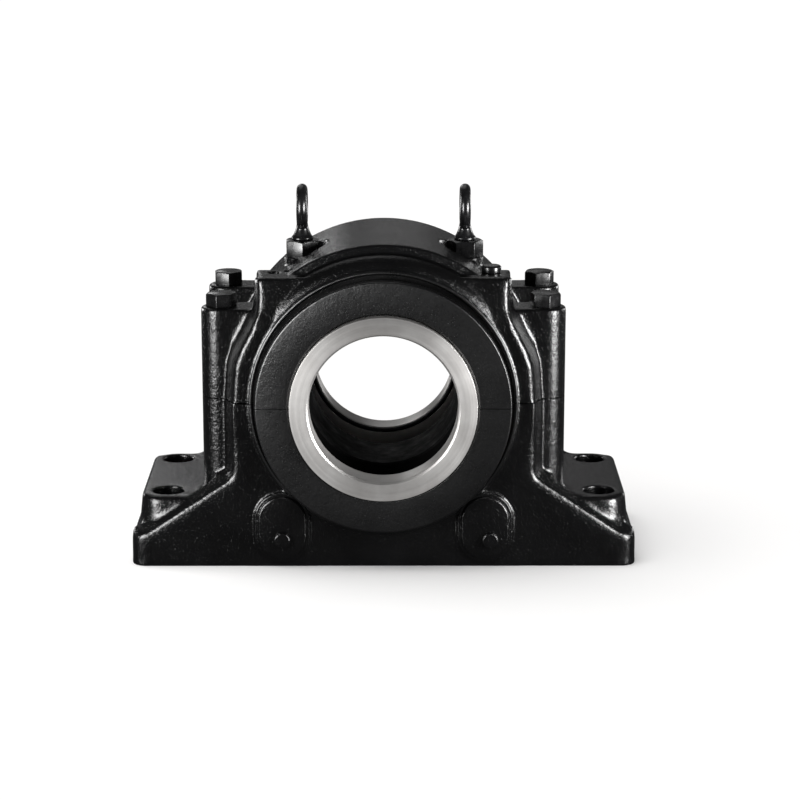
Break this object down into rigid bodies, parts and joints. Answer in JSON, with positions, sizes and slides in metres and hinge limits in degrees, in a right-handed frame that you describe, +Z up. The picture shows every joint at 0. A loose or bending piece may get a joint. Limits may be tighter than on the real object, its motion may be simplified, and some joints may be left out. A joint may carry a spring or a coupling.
{
  "type": "split plummer block",
  "caption": "Split cast plummer block with cap bolts, lifting eyes, labyrinth seal rings and a double-row spherical roller bearing.",
  "frame": {"origin": "middle of the sole", "axes": "+X along the foot, +Y along the shaft with the plugged face looking along -Y, +Z up"},
  "size_m": [0.594, 0.3, 0.436],
  "materials": {
    "casting": "satin black enamel over a sand-cast skin",
    "black_steel": "black oxide",
    "forged_steel": "black paint over forged steel",
    "turned_steel": "turned",
    "cord_rubber": "matt",
    "bearing_steel": "ground",
    "cage_brass": "machined"
  },
  "bodies": {
    "housing": {"housing_base": "casting", "housing_cap": "casting", "cap_bolts": "black_steel", "eye_bolts": "forged_steel", "eye_bolt_nuts": "black_steel", "grease_plug": "black_steel", "drain_plugs": "black_steel", "dowel_pins": "bearing_steel", "bearing_outer_ring": "bearing_steel", "locating_ring_front": "black_steel", "locating_ring_rear": "black_steel"},
    "inner_ring": {"bearing_inner_ring": "bearing_steel"},
    "front_labyrinth": {"labyrinth_ring_front": "turned_steel", "o_ring_front": "cord_rubber"},
    "rear_labyrinth": {"labyrinth_ring_rear": "turned_steel", "o_ring_rear": "cord_rubber"},
    "guide": {"guide_ring": "bearing_steel"},
    "front_row": {"cage_front": "cage_brass", "rollers_front": "bearing_steel"},
    "rear_row": {"cage_rear": "cage_brass", "rollers_rear": "bearing_steel"}
  },
  "joints": [
    {"name": "inner_ring_spin", "type": "hinge", "parent": "housing", "child": "inner_ring", "pos_m": [0, 0, 0.197], "axis": [0, 1, 0], "continuous": true},
    {"name": "labyrinth_front_spin", "type": "hinge", "parent": "housing", "child": "front_labyrinth", "pos_m": [0, 0, 0.197], "axis": [0, 1, 0], "continuous": true},
    {"name": "labyrinth_rear_spin", "type": "hinge", "parent": "housing", "child": "rear_labyrinth", "pos_m": [0, 0, 0.197], "axis": [0, 1, 0], "continuous": true},
    {"name": "guide_ring_spin", "type": "hinge", "parent": "housing", "child": "guide", "pos_m": [0, 0, 0.197], "axis": [0, 1, 0], "continuous": true},
    {"name": "cage_front_spin", "type": "hinge", "parent": "housing", "child": "front_row", "pos_m": [0, 0, 0.197], "axis": [0, 1, 0], "continuous": true},
    {"name": "cage_rear_spin", "type": "hinge", "parent": "housing", "child": "rear_row", "pos_m": [0, 0, 0.197], "axis": [0, 1, 0], "continuous": true}
  ],
  "couplings": [
    {"joint": "labyrinth_front_spin", "follows": "inner_ring_spin", "ratio": 1},
    {"joint": "labyrinth_rear_spin", "follows": "inner_ring_spin", "ratio": 1},
    {"joint": "guide_ring_spin", "follows": "inner_ring_spin", "ratio": 0.436},
    {"joint": "cage_front_spin", "follows": "inner_ring_spin", "ratio": 0.436},
    {"joint": "cage_rear_spin", "follows": "inner_ring_spin", "ratio": 0.436}
  ]
}
